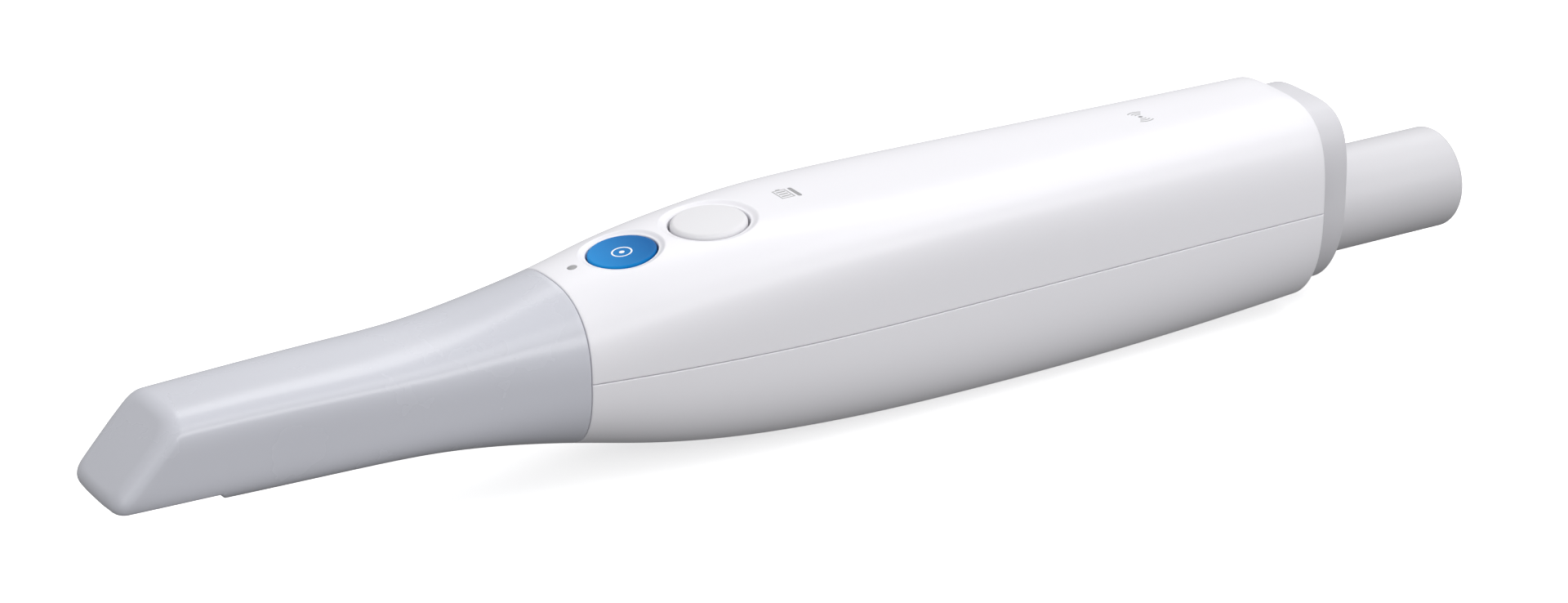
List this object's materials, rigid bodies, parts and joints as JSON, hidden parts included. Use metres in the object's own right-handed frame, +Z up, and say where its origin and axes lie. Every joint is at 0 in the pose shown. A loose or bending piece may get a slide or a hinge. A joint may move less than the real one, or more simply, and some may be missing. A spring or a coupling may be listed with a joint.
{
  "type": "intraoral camera",
  "caption": "Wireless dental intraoral camera: a tapering handpiece with a slip-on mirror tip, round push buttons on top and a plug-in battery at the rear.",
  "frame": {"origin": "under the middle of the object: the centre of its bounding box in X and Y, at the lowest point of the belly", "axes": "+X along the handpiece from the mirror tip to the battery, +Z up through the buttons, -Y to the right-hand side seen from the tip end"},
  "size_m": [0.313, 0.0438, 0.0472],
  "materials": {
    "white_shell": "smooth semi-gloss moulded white plastic",
    "grey_tip": "smooth semi-gloss light grey plastic",
    "grey_collar": "fine satin light grey plastic",
    "blue_button": "glossy blue plastic",
    "light_window": "translucent moulded light guide",
    "black_plastic": "matt black plastic",
    "grey_plastic": "matt dark grey plastic",
    "aluminium": "machined, clear anodised",
    "steel": "plain steel",
    "gold": "gold-plated contact",
    "glass": "polished optical glass",
    "mirror": "first-surface mirror",
    "board_green": "solder mask on circuit board",
    "chip_black": "moulded chip package",
    "flex_amber": "polyimide flex cable",
    "silicone": "soft translucent silicone",
    "seal_rubber": "soft black seal",
    "cell_wrap": "metal cell can in a thin plain sleeve",
    "red_wire": "red lead insulation"
  },
  "bodies": {
    "handpiece": {"upper_shell": "white_shell", "lower_shell": "white_shell", "rear_collar": "grey_collar", "battery_seal": "seal_rubber", "optical_nose": "black_plastic", "nose_window": "glass", "tip_seal_ring": "seal_rubber", "lens_barrel": "black_plastic", "front_lens": "glass", "lens_spacer": "black_plastic", "rear_lens": "glass", "beam_splitter": "glass", "optics_chassis": "aluminium", "chassis_screw_1": "steel", "chassis_screw_2": "steel", "chassis_screw_3": "steel", "chassis_screw_4": "steel", "camera_board": "board_green", "image_sensor": "chip_black", "projector_lens": "glass", "projector_chip": "chip_black", "projector_board": "board_green", "projector_heat_sink": "aluminium", "button_board": "board_green", "scan_switch": "steel", "mode_switch": "steel", "scan_button_dome": "silicone", "mode_button_dome": "silicone", "status_light_pipe": "light_window", "charge_light_pipe": "light_window", "link_light_pipe": "light_window", "board_carrier": "grey_plastic", "main_board": "board_green", "board_screw_1": "steel", "board_screw_2": "steel", "processor_chip": "chip_black", "processor_heat_sink": "aluminium", "power_board": "board_green", "radio_board": "board_green", "radio_shield": "steel", "camera_ribbon": "flex_amber", "projector_ribbon": "flex_amber", "positive_lead": "red_wire", "negative_lead": "black_plastic", "battery_sleeve": "grey_plastic", "contact_block": "black_plastic", "contact_pin_positive": "gold", "contact_pin_negative": "gold"},
    "scan_tip": {"tip_shell": "grey_tip", "tip_mirror": "mirror"},
    "battery": {"battery_case": "white_shell", "battery_cell": "cell_wrap", "battery_plug": "black_plastic", "battery_contact_positive": "gold", "battery_contact_negative": "gold"},
    "scan_button": {"scan_button_cap": "blue_button"},
    "mode_button": {"mode_button_cap": "white_shell"},
    "scan_plunger": {"scan_switch_plunger": "black_plastic"},
    "mode_plunger": {"mode_switch_plunger": "black_plastic"}
  },
  "joints": [
    {"name": "tip_slide", "type": "slide", "parent": "handpiece", "child": "scan_tip", "axis": [-1, 0, 0], "range_m": [0, 0.07]},
    {"name": "battery_slide", "type": "slide", "parent": "handpiece", "child": "battery", "axis": [1, 0, 0], "range_m": [0, 0.07]},
    {"name": "scan_button_press", "type": "slide", "parent": "handpiece", "child": "scan_button", "axis": [0.1392, 0, -0.9903], "range_m": [0, 0.0006], "stiffness_N_per_m": 1500, "springref_m": -0.0004, "deforming": ["scan_button_dome"]},
    {"name": "mode_button_press", "type": "slide", "parent": "handpiece", "child": "mode_button", "axis": [0.0732, 0, -0.9973], "range_m": [0, 0.0006], "stiffness_N_per_m": 1500, "springref_m": -0.0004, "deforming": ["mode_button_dome"]},
    {"name": "scan_switch_press", "type": "slide", "parent": "handpiece", "child": "scan_plunger", "axis": [0.1392, 0, -0.9903], "range_m": [0, 0.0006]},
    {"name": "mode_switch_press", "type": "slide", "parent": "handpiece", "child": "mode_plunger", "axis": [0.0732, 0, -0.9973], "range_m": [0, 0.0006]}
  ],
  "couplings": [
    {"joint": "scan_switch_press", "follows": "scan_button_press", "ratio": 1},
    {"joint": "mode_switch_press", "follows": "mode_button_press", "ratio": 1}
  ]
}
